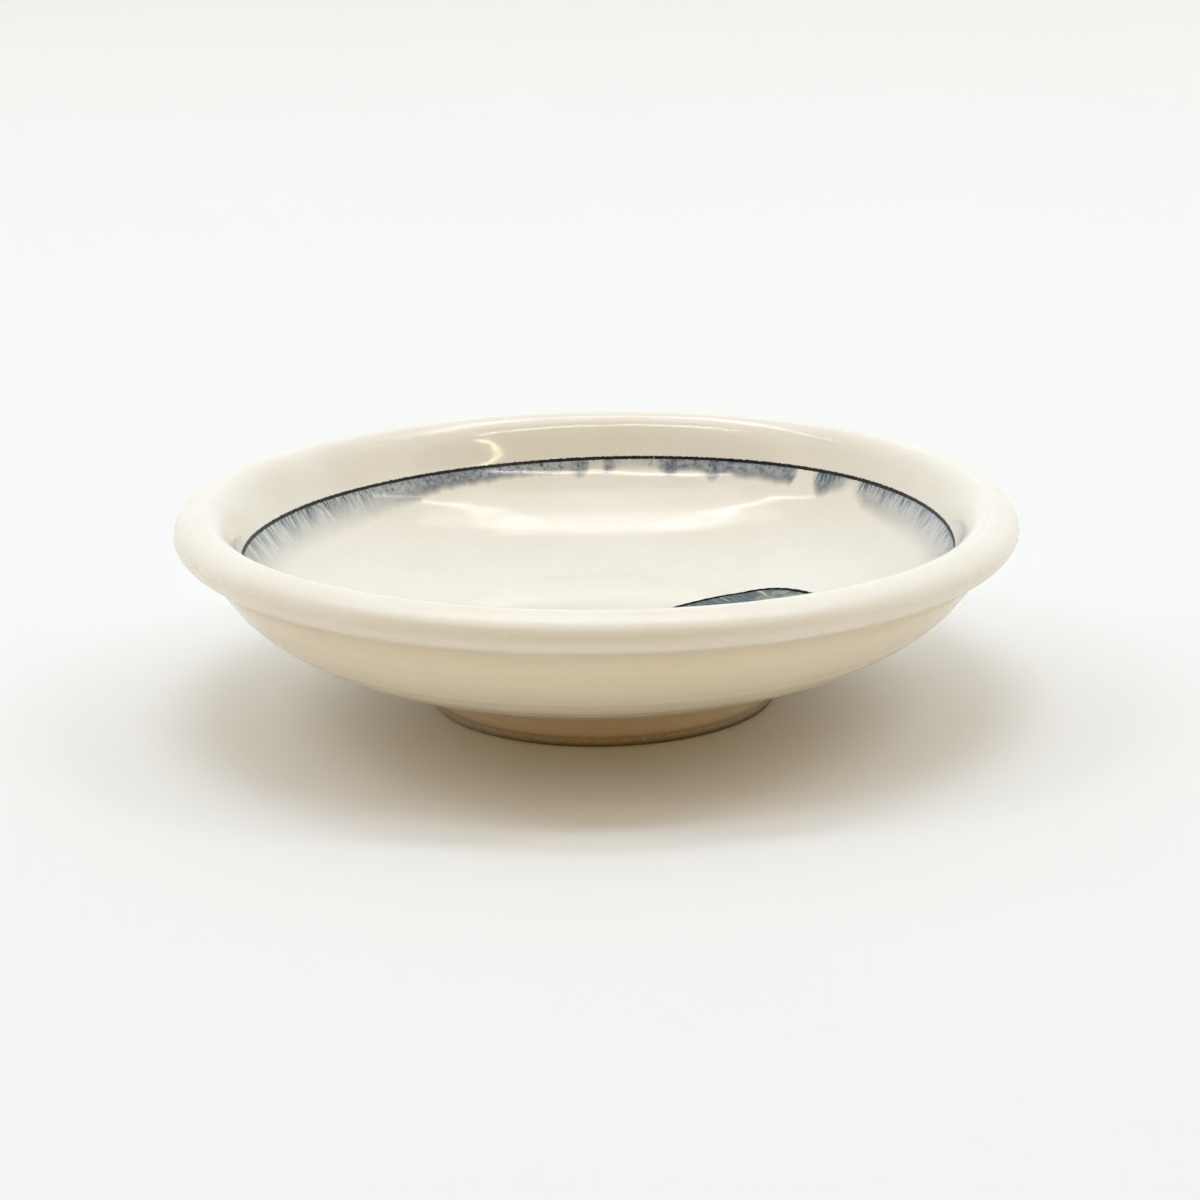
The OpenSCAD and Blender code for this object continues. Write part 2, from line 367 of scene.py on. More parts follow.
class Nodes:
    """A short way to build a tree of nodes."""

    def __init__(self, tree):
        self.tree = tree

    def add(self, kind, *values, **settings):
        """A new node, its first inputs fed from the values."""
        node = self.tree.nodes.new("ShaderNode" + kind)
        for name, value in settings.items():
            setattr(node, name, value)
        for socket, value in zip(node.inputs, values):
            self.feed(socket, value)
        return node

    def feed(self, socket, value):
        if isinstance(value, bpy.types.NodeSocket):
            self.tree.links.new(value, socket)
        else:
            socket.default_value = value

    def maths(self, operation, *values, clamp=False):
        return self.add("Math", *values, operation=operation, use_clamp=clamp).outputs[0]

    def times(self, first, *others):
        for other in others:
            first = self.maths("MULTIPLY", first, other)
        return first

    def plus(self, first, *others):
        for other in others:
            first = self.maths("ADD", first, other)
        return first

    def vector(self, operation, *values):
        return self.add("VectorMath", *values, operation=operation).outputs[0]

    def parts(self, vector):
        return tuple(self.add("SeparateXYZ", vector).outputs)

    def join(self, x, y, z):
        return self.add("CombineXYZ", x, y, z).outputs[0]

    def step(self, value, low, high):
        """Rises smoothly from 0 at low to 1 at high, or falls where low is the larger."""
        limits = (low, high, 0.0, 1.0) if low < high else (high, low, 1.0, 0.0)
        return self.add("MapRange", value, *limits, interpolation_type="SMOOTHSTEP").outputs["Result"]

    def span(self, value, low, high):
        """Stretches a value of 0 to 1 over a range."""
        return self.add("MapRange", value, 0.0, 1.0, low, high).outputs["Result"]

    def noise(self, place, scale, detail=2.0, roughness=0.5):
        node = self.add("TexNoise", place)
        for title, number in (("Scale", scale), ("Detail", detail), ("Roughness", roughness)):
            node.inputs[title].default_value = number
        return node.outputs["Fac"]

    def uneven(self, place, scale, amount):
        """Noise about 0, from about -amount to amount."""
        return self.times(self.maths("SUBTRACT", self.noise(place, scale), 0.5), 2 * amount)

    def dots(self, place, scale, size, kept):
        """Small round dots, size across in cells, in a kept share of the cells."""
        node = self.add("TexVoronoi", place)
        node.inputs["Scale"].default_value = scale
        chance, extra, _ = self.parts(node.outputs["Color"])
        limit = self.times(self.span(extra, 0.4, 1.0), size)
        near = self.step(self.maths("DIVIDE", node.outputs["Distance"], limit), 1.0, 0.5)
        return self.times(near, self.maths("LESS_THAN", chance, kept))

    def mix(self, factor, first, second):
        """The first colour where the factor is 0, and the second where it is 1."""
        node = self.add("Mix", factor, data_type="RGBA")
        self.feed(node.inputs[MIX_FIRST], first)
        self.feed(node.inputs[MIX_SECOND], second)
        return node.outputs[MIX_RESULT]

    def tint(self, color, tone, *shares):
        """The colour, turned into the tone by the product of the shares."""
        return self.mix(self.times(*shares), color, tone)

    def value(self, name):
        """A value that the mesh carries at its points."""
        return self.add("Attribute", attribute_name=name).outputs["Fac"]

    def place(self):
        """The object's own coordinates, in millimetres."""
        return self.vector("MULTIPLY", self.add("TexCoord").outputs["Object"], (1 / MM,) * 3)

    def bump(self, height, depth, under=None):
        """Relief of a depth in millimetres."""
        node = self.add("Bump")
        self.feed(node.inputs["Height"], height)
        node.inputs["Distance"].default_value = depth * MM
        if under is not None:
            self.feed(node.inputs["Normal"], under)
        return node.outputs["Normal"]


class Shader(Nodes):
    """The nodes of one material."""

    def __init__(self, name):
        self.material = bpy.data.materials.new(name)
        self.material.use_nodes = True
        super().__init__(self.material.node_tree)
        self.tree.nodes.clear()

    def finish(self, color, roughness, normal=None, specular=0.5):
        shader = self.add("BsdfPrincipled")
        self.feed(shader.inputs["Base Color"], color)
        self.feed(shader.inputs["Roughness"], roughness)
        shader.inputs["IOR"].default_value = GLAZE_IOR
        shader.inputs["Specular IOR Level"].default_value = specular
        if normal is not None:
            self.feed(shader.inputs["Normal"], normal)
        output = self.add("OutputMaterial")
        self.tree.links.new(shader.outputs["BSDF"], output.inputs["Surface"])
        return self.material


def srgb(r, g, b):
    """A colour written as it looks on screen, 0 to 255."""
    parts = [c / 255 for c in (r, g, b)]
    linear = [c / 12.92 if c <= 0.04045 else ((c + 0.055) / 1.055) ** 2.4 for c in parts]
    return (*linear, 1.0)


# Colours. Those in a pair are mixed by the place, from the first to the second.
CREAM = (srgb(245, 242, 233), srgb(241, 237, 226))
CREAM_GRAIN = srgb(216, 206, 186)
SPECK = srgb(120, 96, 70)
# Partly the outer glaze's own warmer tone, partly painted shade under the rim roll
WARM_GLAZE_AND_SHADE = srgb(240, 225, 196)
ROOT_GLAZE = srgb(224, 208, 174)
FOOT_GLAZE = srgb(222, 204, 178)
THIN_GLAZE = srgb(176, 156, 130)
SANDY_GLAZE = srgb(196, 170, 140)
# Painted shade in the crease under the rim roll
CREASE_SHADE = srgb(206, 190, 158)
RECESS_GLAZE = (srgb(226, 214, 190), srgb(206, 190, 160))
WASH = (srgb(160, 178, 180), srgb(156, 172, 196))
SLATE_BLUE = srgb(58, 79, 108)
POOLED_BLUE = srgb(40, 56, 96)
STREAK_GREY = srgb(78, 98, 110)
BLOT_GREY = srgb(48, 56, 68)
HAIRS = (srgb(72, 92, 106), srgb(164, 179, 186))
LEAF_BLUE = (srgb(34, 46, 56), srgb(92, 116, 128))
LEAF_GREEN = (srgb(92, 104, 94), srgb(146, 157, 148))
LEAF_INK = (srgb(14, 16, 20), srgb(34, 38, 42))
IRON = (srgb(18, 18, 20), srgb(40, 37, 36))
IRON_GRAIN = srgb(160, 152, 138)
CORE_CLAY = (srgb(188, 168, 136), srgb(206, 190, 160))
FOOT_CLAY = (srgb(166, 151, 131), srgb(194, 179, 158))
GROG = srgb(92, 70, 50)
# A painted contact shadow where the foot meets the table
CONTACT_SHADE = srgb(76, 62, 48)
PAPER = (srgb(242, 242, 242), srgb(240, 240, 240))
BOARD = (srgb(52, 34, 18), srgb(250, 200, 96))
# Painted contact shadow: the clay is darkened below this height above the table, from the edge of its
# resting face out
CONTACT_SHADE_TOP = 0.9
CONTACT_SHADE_R = (20.9, 21.25)


def glaze_base(m, place):
    """The colour of the bare glaze: warmer and cooler clouds, fine grain and iron specks."""
    warm = m.step(m.noise(place, 0.06, 3.0), 0.35, 0.65)
    color = m.mix(warm, *CREAM)
    grain = m.step(m.noise(place, 1.6, 4.0), 0.3, 0.75)
    color = m.tint(color, CREAM_GRAIN, grain, 0.10)
    return m.tint(color, SPECK, m.dots(place, 0.19, 0.035, 0.35), 0.8)


def glaze_finish(m, place, color, dull=0.0):
    """The gloss of the glaze, with its slight orange peel and pinholes. dull makes it rougher."""
    roughness = m.plus(m.span(m.noise(place, 0.5, 3.0), 0.07, 0.13), dull)
    peel = m.bump(m.noise(place, 0.45, 2.0), 0.012)
    pits = m.bump(m.dots(place, 0.31, 0.04, 0.3), -0.02, peel)
    return m.finish(color, roughness, pits)


def ring_place(m, place, stretch):
    """Coordinates that run round the well in millimetres, stretched down its side into streaks."""
    flat = m.vector("NORMALIZE", m.vector("MULTIPLY", place, (1.0, 1.0, 0.0)))
    across = m.vector("MULTIPLY", flat, (LINE_R, LINE_R, 0.0))
    return m.vector("ADD", across, m.join(0.0, 0.0, m.times(m.value("down"), stretch)))


def border_blots(m, place, color, cloud, slow):
    """The dots and small blots that crowd under the line."""
    down = m.value("down")
    blots = m.plus(m.dots(place, 0.8, 0.3, 0.5), m.dots(place, 1.6, 0.28, 0.45))
    blots = m.plus(blots, m.times(m.step(cloud, 0.52, 0.66), 0.7))
    near = m.times(m.step(down, 0.1, 0.35), m.step(down, 1.9, 0.7), m.value("dots"), m.span(slow, 0.3, 1.2))
    painted = m.step(down, -0.12, 0.0)
    return m.mix(m.maths("MINIMUM", m.times(painted, blots, near), 0.8), color, BLOT_GREY)


def border_color(m, place, color):
    """The wash brushed in from the line, with its pooled lower edge, its streaks and its dots."""
    # The way down from the line, and the share of it to the wash's end
    down, reach = m.value("down"), m.value("reach")
    fine = m.noise(ring_place(m, place, 0.12), 2.4, 3.0)
    middle = m.noise(ring_place(m, place, 0.25), 0.75, 2.0)
    slow = m.noise(ring_place(m, place, 0.6), 0.3, 2.0)
    cloud = m.noise(place, 1.5, 5.0, 0.65)
    edge = m.plus(down, m.span(middle, -0.45, 0.45), m.span(cloud, -0.2, 0.2))
    share = m.maths("DIVIDE", edge, reach)
    painted = m.step(down, -0.12, 0.0)
    x, _, _ = m.parts(place)
    pale = m.mix(m.step(x, -12.0, 8.0), *WASH)
    streaky = m.span(m.step(fine, 0.36, 0.62), 0.6, 1.05)
    fade = m.maths("POWER", m.step(share, 1.3, -0.25), 1.6)
    wash = m.times(painted, m.value("pale"), fade, streaky)
    color = m.mix(m.maths("MINIMUM", wash, 0.9), color, pale)
    mottle = m.span(m.step(cloud, 0.3, 0.7), 0.5, 1.1)
    body = m.times(painted, m.value("slate"), m.step(share, 1.2, 0.45), m.span(middle, 0.6, 1.15), mottle)
    color = m.mix(m.maths("MINIMUM", body, 0.95), color, SLATE_BLUE)
    pool = m.times(painted, m.value("slate"), m.step(share, 0.3, 0.75), m.step(share, 1.2, 0.7))
    color = m.tint(color, POOLED_BLUE, pool, m.span(slow, 0.1, 1.0))
    strokes = m.times(painted, m.value("hair"), m.step(middle, 0.46, 0.6), m.step(share, 0.85, 0.15))
    color = m.tint(color, STREAK_GREY, strokes, m.span(fine, 0.1, 0.9))
    return border_blots(m, place, color, cloud, slow)


# The largest leaf's length and width, the width of its outline in the CAD, and the power that puts
# its widest place a little past its middle
LEAF_L = 23.5
LEAF_W = 19.5
LEAF_EDGE = 0.5
LEAF_BELLY = 1.1
# Each leaf: its share of the full size, the place of its base in radii of the floor, and the way it
# points in degrees, turned into millimetres and radians
LEAVES = [
    (share, x * FLOOR_R, y * FLOOR_R, math.radians(way))
    for share, x, y, way in [(1.0, 0.32, 0.32, -8), (0.75, -0.2, -0.25, 150), (0.55, -0.29, -0.38, -38)]
]
# The distance from vein to vein along the largest leaf, and the share of a step at which they start
VEIN_STEP = 6.6
VEIN_START = 0.6
# The points of the stem's curve, in radii of the floor
STEM = [(-0.66, -0.56), (-0.3, -0.75), (-0.12, 0.16), (0.32, 0.32)]


def leaf_axes(m, place, leaf):
    """How far a place lies along a leaf from its base, and to which side of its midrib."""
    _, bx, by, turn = leaf
    x, y, _ = m.parts(m.vector("SUBTRACT", place, (bx, by, 0.0)))
    along_leaf = m.plus(m.times(x, math.cos(turn)), m.times(y, math.sin(turn)))
    across = m.plus(m.times(y, math.cos(turn)), m.times(x, -math.sin(turn)))
    return along_leaf, across


def leaf_color(m, place, color, leaf):
    """The two washes of one leaf, which leave its midrib and its veins bare."""
    share = leaf[0]
    along_leaf, across = leaf_axes(m, place, leaf)
    length, width = LEAF_L * share, LEAF_W * share
    t = m.maths("DIVIDE", along_leaf, length, clamp=True)
    belly = m.maths("SINE", m.times(m.maths("POWER", t, LEAF_BELLY), math.pi))
    out = m.maths("ABSOLUTE", across)
    room = m.maths("SUBTRACT", m.times(belly, width / 2 - LEAF_EDGE / 2), out)
    inside = m.step(m.plus(room, m.uneven(place, 1.4, 0.15)), -0.1, 0.1)
    swept = m.plus(along_leaf, m.times(out, 0.8), m.uneven(place, 0.25, 0.4))
    bristles = m.noise(m.join(m.times(swept, 2.2), m.times(out, 0.3), 0.0), 1.0, 4.0, 0.65)
    cloud = m.noise(place, 0.9, 4.0, 0.6)
    rib = m.step(m.plus(out, m.uneven(place, 0.9, 0.25)), 0.15, 0.55)
    beat = m.maths("FRACT", m.plus(m.times(swept, 1 / (VEIN_STEP * share)), VEIN_START))
    vein = m.step(m.maths("ABSOLUTE", m.plus(beat, -0.5)), 0.02, 0.06)
    vein = m.maths("MINIMUM", m.plus(vein, m.step(bristles, 0.62, 0.5)), 1.0)
    bare = m.times(inside, rib, m.span(vein, 0.15, 1.0))
    blue = m.mix(m.step(bristles, 0.35, 0.68), *LEAF_BLUE)
    green = m.mix(m.step(cloud, 0.35, 0.65), *LEAF_GREEN)
    tip = m.step(m.plus(t, m.uneven(place, 0.5, 0.08)), 0.46, 0.56)
    wash = m.mix(m.maths("MAXIMUM", tip, m.step(across, 0.2, -0.2)), blue, green)
    return m.tint(color, wash, bare, 0.94)


def inner_glaze_material():
    m = Shader("cream_glaze")
    place = m.place()
    color = border_color(m, place, glaze_base(m, place))
    return glaze_finish(m, place, color)


def leaf_wash_material():
    m = Shader("leaf_wash")
    place = m.place()
    color = glaze_base(m, place)
    for leaf in LEAVES:
        color = leaf_color(m, place, color, leaf)
    return m.finish(color, m.span(m.noise(place, 0.5, 3.0), 0.15, 0.25), specular=0.03)


def outer_glaze_material():
    """Warmer and duller towards the foot, with painted shade under the rim roll and in its crease. below is
    the way down from the crest, and up the height.
    """
    m = Shader("warm_glaze")
    place, below, up = m.place(), m.value("below"), m.value("up")
    # Warmer below the crest: partly the glaze's own tone over the buff clay, partly painted shade under the
    # rim roll
    color = m.tint(glaze_base(m, place), WARM_GLAZE_AND_SHADE, m.step(below, 2.0, 11.0), 0.7)
    color = m.tint(color, ROOT_GLAZE, m.step(up, 7.0, 4.4), 0.65)
    foot = m.step(m.plus(up, m.uneven(place, 0.5, 0.4)), 4.2, 3.4)
    color = m.tint(color, FOOT_GLAZE, foot, 0.75)
    color = m.tint(color, THIN_GLAZE, m.step(up, 2.2, 0.9), 0.6)
    sand = m.step(m.noise(place, 4.0, 4.0, 0.7), 0.35, 0.65)
    color = m.tint(color, SANDY_GLAZE, foot, sand, 0.35)
    # Painted shade in the crease under the rim roll; the same band is also made duller
    crease = m.times(m.step(below, 6.5, 8.5), m.step(below, 13.0, 10.0))
    color = m.tint(color, CREASE_SHADE, crease, 0.3)
    rim = m.step(below, 10.0, 1.0)
    dull = m.plus(m.times(crease, 0.4), m.times(rim, 0.26), m.times(m.step(up, 9.0, 5.0), 0.35))
    return glaze_finish(m, place, color, dull)


def clay_material(name, colors, grain):
    """Unglazed stoneware: fine sandy grain with darker grog and the rings left by turning."""
    m = Shader(name)
    place = m.place()
    sand = m.noise(place, 3.0, 5.0, 0.65)
    color = m.mix(m.step(sand, 0.3, 0.7), *colors)
    color = m.tint(color, GROG, m.dots(place, 1.1, 0.16, 0.5), 0.7)
    x, y, z = m.parts(place)
    r = m.maths("SQRT", m.plus(m.times(x, x), m.times(y, y)))
    # Painted contact shadow along the foot's outer edge, next to the table
    color = m.tint(color, CONTACT_SHADE, m.step(z, CONTACT_SHADE_TOP, 0.0), m.step(r, *CONTACT_SHADE_R), 0.8)
    rings = m.maths("SINE", m.times(m.plus(r, m.uneven(place, 0.2, 0.1)), 9.0))
    rough = m.bump(sand, grain)
    marks = m.bump(rings, 0.015, rough)
    return m.finish(color, m.span(sand, 0.75, 0.95), marks, 0.3)


def base_glaze_material():
    m = Shader("recess_glaze")
    place = m.place()
    color = m.mix(m.step(m.noise(place, 0.12, 3.0), 0.3, 0.7), *RECESS_GLAZE)
    color = m.tint(color, SPECK, m.dots(place, 0.4, 0.08, 0.4), 0.7)
    return glaze_finish(m, place, color)


def iron_material():
    """The drawn line: black iron pigment with pale grains where the glaze shows through."""
    m = Shader("iron_line")
    place = m.place()
    color = m.mix(m.step(m.noise(place, 1.2, 4.0), 0.35, 0.7), *IRON)
    color = m.tint(color, IRON_GRAIN, m.dots(place, 0.9, 0.16, 0.35), 0.8)
    roughness = m.span(m.noise(place, 1.0, 2.0), 0.2, 0.4)
    return m.finish(color, roughness, m.bump(m.noise(place, 3.0, 3.0), 0.01), 0.25)


def brush_material(name, colors, specular=0.5):
    """A brushed stroke, from its colour at the root to its colour at the tip."""
    m = Shader(name)
    place = m.place()
    worn = m.plus(m.value("along"), m.uneven(place, 2.5, 0.5))
    color = m.mix(m.step(worn, 0.1, 0.95), *colors)
    return m.finish(color, m.span(m.noise(place, 1.0, 2.0), 0.1, 0.2), specular=specular)


# The border, by the angle from the right-hand side: how strong its pale wash, its slate blue, its
# streaks and its dots are, and how far down the well it reaches in mm
BORDER = [
    (0, 0.85, 0.1, 0.7, 0.1, 5), (12, 0.9, 0.15, 0.8, 0.1, 4.9), (24, 0.9, 0.2, 0.9, 0.2, 4.6),
    (30, 0.95, 0.3, 1, 0.2, 4.2), (35, 0.9, 0.4, 1, 0.3, 3.5), (37.6, 0.7, 0.3, 0.8, 0.3, 2.6),
    (38.8, 0.25, 0, 0.1, 0.1, 2.2), (40.8, 0.3, 0, 0.1, 0.1, 2.2), (42, 0.7, 0.3, 0.5, 0.2, 2.4),
    (44.2, 0.8, 0.5, 0.9, 0.2, 2.9), (45.7, 1, 0.9, 1, 0.2, 3.5), (47.3, 0.9, 0.9, 0.9, 0.2, 3),
    (48.3, 0.3, 0.2, 0.2, 0.2, 2), (49, 0, 0, 0, 0, 1.5), (52.2, 0, 0, 0, 0, 1.5),
    (52.9, 0.9, 0.9, 0.3, 0.3, 2.5), (56, 0.9, 0.75, 0.3, 0.4, 2.6), (60, 0.9, 0.7, 0.3, 0.6, 2.5),
    (64, 0.9, 0.8, 0.3, 0.7, 2.4), (67, 0.9, 0.8, 0.2, 0.8, 2.3), (67.8, 0.9, 1, 0.2, 0.9, 2.9),
    (69.4, 0.9, 1, 0.2, 0.9, 2.9), (70.2, 0.8, 0.7, 0.1, 1, 1.9), (75.5, 0.8, 0.7, 0.1, 1, 2),
    (76.3, 0.9, 1, 0.1, 0.8, 2.5), (77.7, 0.9, 1, 0.1, 0.8, 2.5), (78.4, 0.6, 0.3, 0.1, 0.7, 1.6),
    (84, 0.55, 0.15, 0, 0.6, 1.5), (86.6, 0.5, 0.2, 0, 0.5, 1.5), (87.2, 0.8, 0.8, 0, 0.5, 2.1),
    (88, 0.8, 0.8, 0, 0.4, 2.1), (88.8, 0.4, 0.1, 0, 0.4, 1.4), (91.4, 0.5, 0.2, 0, 0.5, 1.6),
    (92.1, 0.9, 0.9, 0, 0.6, 2.6), (93.3, 0.9, 0.9, 0, 0.6, 2.6), (94.2, 0.7, 0.5, 0, 0.8, 2),
    (100, 0.7, 0.6, 0, 1, 2), (107, 0.8, 0.75, 0.1, 1, 2.1), (113, 0.9, 0.9, 0.1, 0.8, 2.3),
    (119, 0.95, 0.95, 0.1, 0.7, 2.5), (123, 0.95, 0.8, 0.2, 0.8, 3), (127, 0.95, 0.5, 0.3, 0.9, 3.6),
    (132, 0.9, 0.3, 0.4, 1, 4), (138, 0.9, 0.2, 0.6, 0.9, 4.4), (143, 0.9, 0.15, 0.9, 0.6, 4.8),
    (149, 0.9, 0.15, 1, 0.4, 5), (157, 0.9, 0.15, 0.9, 0.2, 5.2), (168, 0.85, 0.1, 0.7, 0.1, 5.4),
    (180, 0.85, 0.1, 0.7, 0.1, 5.4), (198, 0.9, 0.2, 0.8, 0.2, 4.8), (214, 0.7, 0.1, 0.5, 0.2, 4),
    (221, 0.3, 0, 0.1, 0.1, 2.2), (225, 0.9, 0.8, 0.4, 0.3, 3), (235, 0.8, 0.6, 0.2, 0.8, 2.2),
    (246, 0.9, 0.8, 0.3, 0.7, 2.4), (262, 0.8, 0.7, 0.3, 0.9, 2.1), (275, 0.5, 0.3, 0.2, 0.7, 1.6),
    (285, 0.9, 0.9, 0.3, 0.6, 2.6), (296, 0.4, 0.1, 0.1, 0.3, 1.8), (305, 0.8, 0.5, 0.8, 0.3, 3.2),
    (322, 0.9, 0.3, 1, 0.2, 4.2), (342, 0.85, 0.1, 0.8, 0.1, 4.8), (360, 0.85, 0.1, 0.7, 0.1, 5),
]
BORDER_COLUMNS = {"pale": 1, "slate": 2, "hair": 3, "dots": 4, "reach": 5}
# How far the line wanders down the well, in mm: its mean, then (turns, cosine part, sine part)
LINE_MEAN = 0.14
LINE_WAVES = [(1, -0.42, -0.10), (2, -0.04, -0.22), (3, 0.05, -0.04), (4, 0.01, -0.06)]


def border(name, a):
    """One column of the border's table at an angle."""
    table = np.array(BORDER)
    return np.interp(np.degrees(a) % 360, table[:, 0], table[:, BORDER_COLUMNS[name]])


def line_place(a):
    """The arc length at which the painted line runs round the well."""
    wander = sum(c * np.cos(k * a) + s * np.sin(k * a) for k, c, s in LINE_WAVES)
    return LINE_S + LINE_MEAN + wander


def inner_values(s, a):
    """What the material of the inner glaze reads: the way down from the line, and the border's table."""
    return {"down": s - line_place(a), **{name: border(name, a) for name in BORDER_COLUMNS}}


def outer_values(s, a):
    """What the material of the outer glaze reads: the way down from the crest, and the height."""
    return {"below": CREST_S - s, "up": along(PATH[:, 1], s)}


def waves(a, seed, turns, amount):
    """A closed wavy line: random waves round the circle."""
    rng = np.random.default_rng(seed)
    total = sum(rng.normal() * np.sin(k * a + rng.uniform(0, 2 * np.pi)) for k in turns)
    return amount * total / math.sqrt(len(turns))


# The painted line's half width, and its height in its middle and at its shoulders
LINE_HALF = 0.23
LINE_LIFT = 0.03
LINE_SHOULDER = 0.012


def painted_line(material):
    """The line drawn on the wheel: a thin closed band with gritty edges."""
    a = angles(6 * COLUMNS)
    middle = line_place(a)
    slow, rough = range(2, 14), range(80, 700, 11)
    low = LINE_HALF + waves(a, 1, slow, 0.025) + waves(a, 2, rough, 0.045)
    high = LINE_HALF + waves(a, 3, slow, 0.025) + waves(a, 4, rough, 0.03)
    edges = [
        (-low, -SUNK), (-low, LINE_SHOULDER), (0 * a, LINE_LIFT), (high, LINE_SHOULDER), (high, -SUNK)
    ]
    rings = [surface(middle + off, a, lift) for off, lift in edges]
    normals = np.concatenate([surface_normal(middle + off, a) for off, _ in edges])
    points, faces = lathe(rings, True)
    return make_object("painted_line", points, faces, material, normals)


# The hairs. They start under the line's edge, and the long ones up to HAIR_GAP further down.
HAIR_SEED = 5
HAIR_TRIES = 1000
HAIR_CHANCE = 0.62
HAIR_OVERLAP = 0.05
HAIR_GAP = 0.3
HAIR_LIFT = 0.012
HAIR_HALF = 0.035
HAIR_LEAN = 0.016
BOLD_LEAN = 0.006
HAIR_POINTS = 6
BOLD_POINTS = 8
# The bolder strokes among the hairs: angle, length and half width
BOLD_STROKES = [
    (158.6, 1.3, 0.10), (157.1, 2.0, 0.13), (155.9, 1.5, 0.10), (154.9, 2.2, 0.15), (153.6, 1.2, 0.09),
    (151.2, 1.2, 0.10), (149.7, 2.3, 0.17), (148.8, 1.3, 0.10), (146.8, 1.4, 0.11), (145.0, 2.4, 0.17),
    (144.2, 2.2, 0.15), (141.9, 1.3, 0.10), (139.8, 1.1, 0.12), (137.4, 1.0, 0.13), (134.6, 1.1, 0.10),
    (47.6, 2.2, 0.16), (46.8, 3.1, 0.20), (46.1, 2.8, 0.17), (45.2, 2.5, 0.13), (44.4, 2.0, 0.10),
    (43.3, 1.6, 0.09), (37.3, 2.0, 0.13), (36.8, 1.7, 0.11), (36.2, 2.3, 0.12), (35.1, 1.6, 0.10),
    (34.2, 2.0, 0.10), (33.0, 2.7, 0.11), (31.8, 1.8, 0.10), (30.5, 2.2, 0.10), (29.2, 1.7, 0.09),
]


def hair_root(a):
    """The arc length at which the strokes leave the painted line."""
    return float(line_place(a)) + LINE_HALF - HAIR_OVERLAP


def fine_hair(a, length, width, lean, start):
    """One fine hair, from its angle and four random shares."""
    reach = float(border("reach", a)) * (0.16 + 0.5 * length ** 2.5)
    t = np.linspace(0, 1, HAIR_POINTS)
    arcs = hair_root(a) + HAIR_GAP * start * (length > 0.5) + reach * t
    turns = a + (lean - 0.5) * HAIR_LEAN * t * reach
    return arcs, turns, (HAIR_HALF + HAIR_HALF * width) * (1 - 0.75 * t ** 1.5)


def bold_stroke(a, length, half, lean):
    """One bolder stroke, which thins to its tip."""
    t = np.linspace(0, 1, BOLD_POINTS)
    return hair_root(a) + length * t, a + lean * t * length, 0.8 * half * (1 - 0.35 * t - 0.6 * t ** 2)


def brushed_hairs(material):
    """Fine hairs brushed in from the line, thickest where the border is hatched, and bolder strokes."""
    rng = np.random.default_rng(HAIR_SEED)
    strokes = []
    for _ in range(HAIR_TRIES):
        a = rng.uniform(0, 2 * np.pi)
        chance, length, width, lean, start = rng.uniform(size=5)
        if chance <= float(border("hair", a)) ** 2 * HAIR_CHANCE:
            strokes.append(fine_hair(a, length, width, lean, start))
    for turn, length, half in BOLD_STROKES:
        strokes.append(bold_stroke(math.radians(turn), length, half, rng.uniform(-BOLD_LEAN, BOLD_LEAN)))
    return ribbons("brushed_hairs", strokes, material, HAIR_LIFT)


def well_place(x, y):
    """The arc lengths and angles of points of the well given in plan."""
    inside = (PATH_S > CREST_S) & (PATH_S < END_S)
    r = np.hypot(x, y)
    return np.interp(-r, -PATH[inside, 0], PATH_S[inside]), np.arctan2(y, x)


# The leaves' outlines and stem. The stem runs in under a leaf's edge, and its stretches of fewer than
# SHORTEST_RUN points are left out.
LEAF_SEED = 9
OUTLINE_POINTS = 150
OUTLINE_HALF = 0.34
OUTLINE_LIFT = 0.025
STEM_POINTS = 60
STEM_HALF = 0.4
STEM_UNDER = 0.1
SHORTEST_RUN = 4
# The leaves' washes, with a bare midrib between the two of a leaf, and the shares of its length
# between which they lie
WASH_ROWS = 60
WASH_COLUMNS = 16
WASH_LIFT = 0.008
RIB_HALF = 0.3
WASH_ENDS = (0.015, 0.985)


def leaf_half(leaf, t):
    """Half the width of a leaf at a share t of its length, to the middle of its outline."""
    return (LEAF_W * leaf[0] / 2 - LEAF_EDGE / 2) * np.sin(np.pi * t ** LEAF_BELLY)


def leaf_plan(leaf, t, y):
    """Points of a leaf in plan, from their share t of its length and their distance y from its midrib."""
    share, bx, by, turn = leaf
    x = LEAF_L * share * t
    return bx + x * math.cos(turn) - y * math.sin(turn), by + x * math.sin(turn) + y * math.cos(turn)


def in_leaf(x, y, leaf):
    """Which points of the plan a leaf covers."""
    share, bx, by, turn = leaf
    dx, dy = x - bx, y - by
    t = np.clip((dx * math.cos(turn) + dy * math.sin(turn)) / (LEAF_L * share), 0, 1)
    out = np.abs(dy * math.cos(turn) - dx * math.sin(turn))
    return out < LEAF_W * share / 2 * np.sin(np.pi * t ** LEAF_BELLY) - STEM_UNDER


def grid_shell(rows, columns, first):
    """The faces of a thin closed shell between two grids of points, numbered from first."""
    count = rows * columns
    index = first + np.arange(count).reshape(rows, columns)
    faces = []
    for i in range(rows - 1):
        for j in range(columns - 1):
            corners = (index[i, j], index[i + 1, j], index[i + 1, j + 1], index[i, j + 1])
            faces.append(corners)
            faces.append(tuple(corner + count for corner in corners[::-1]))
    edge = np.concatenate([index[:-1, 0], index[-1, :-1], index[:0:-1, -1], index[0, :0:-1]])
    faces += [(a, a + count, b + count, b) for a, b in zip(edge, np.roll(edge, -1))]
    return faces


